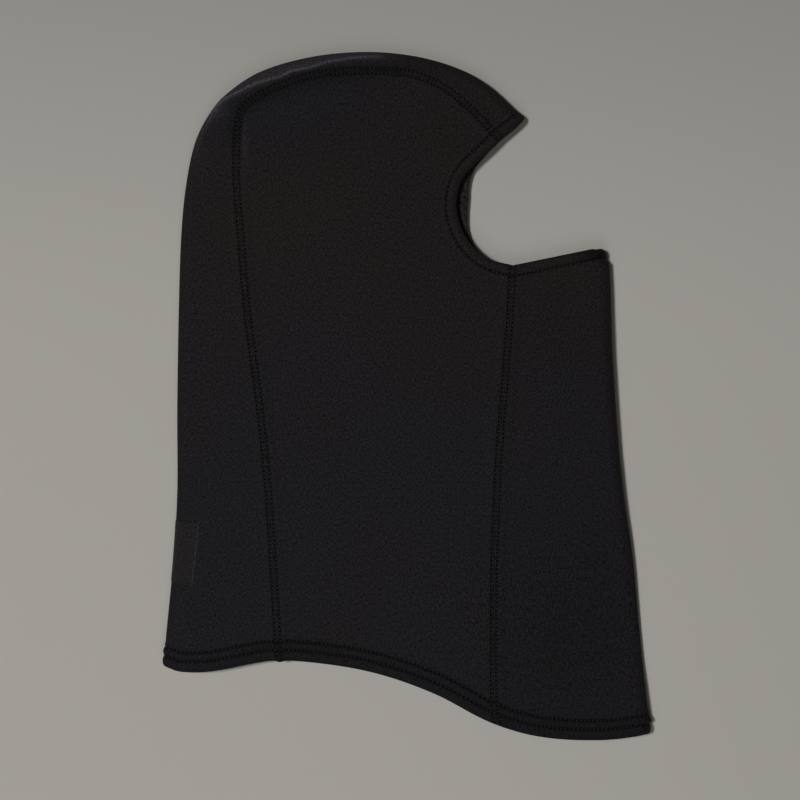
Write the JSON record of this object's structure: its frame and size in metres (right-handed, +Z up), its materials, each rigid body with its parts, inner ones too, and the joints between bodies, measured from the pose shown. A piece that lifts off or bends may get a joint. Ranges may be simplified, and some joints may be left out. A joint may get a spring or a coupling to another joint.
{
  "type": "balaclava",
  "caption": "Fleece ski balaclava lying flat on its side: stitched head and neck tube with a face opening, a dropped front skirt and a blank nape patch.",
  "frame": {"origin": "under the middle of the garment's outline, on the surface it lies on", "axes": "+X towards the face, +Y towards the crown, +Z up from the surface; the wearer's right side is on top"},
  "size_m": [0.2958, 0.419, 0.015],
  "materials": {
    "fleece": "matt smooth-faced stretch fleece, near black",
    "thread": "black polyester sewing thread with a slight sheen",
    "patch": "tonal bonded patch, slightly smoother than the fleece"
  },
  "bodies": {
    "root": {"blank_patch": "patch", "bottom_hem_looper_thread": "thread", "bottom_hem_needle_thread_lower": "thread", "bottom_hem_needle_thread_upper": "thread", "centre_panel": "fleece", "centre_seam_left_looper_thread": "thread", "centre_seam_left_needle_thread_first": "thread", "centre_seam_left_needle_thread_second": "thread", "centre_seam_right_looper_thread": "thread", "centre_seam_right_needle_thread_first": "thread", "centre_seam_right_needle_thread_second": "thread", "face_hem_needle_thread": "thread", "face_hem_under_thread": "thread", "front_panel": "fleece", "front_seam_left_looper_thread": "thread", "front_seam_left_needle_thread_first": "thread", "front_seam_left_needle_thread_second": "thread", "front_seam_right_looper_thread": "thread", "front_seam_right_needle_thread_first": "thread", "front_seam_right_needle_thread_second": "thread", "side_panel_left": "fleece", "side_panel_right": "fleece"}
  },
  "joints": []
}
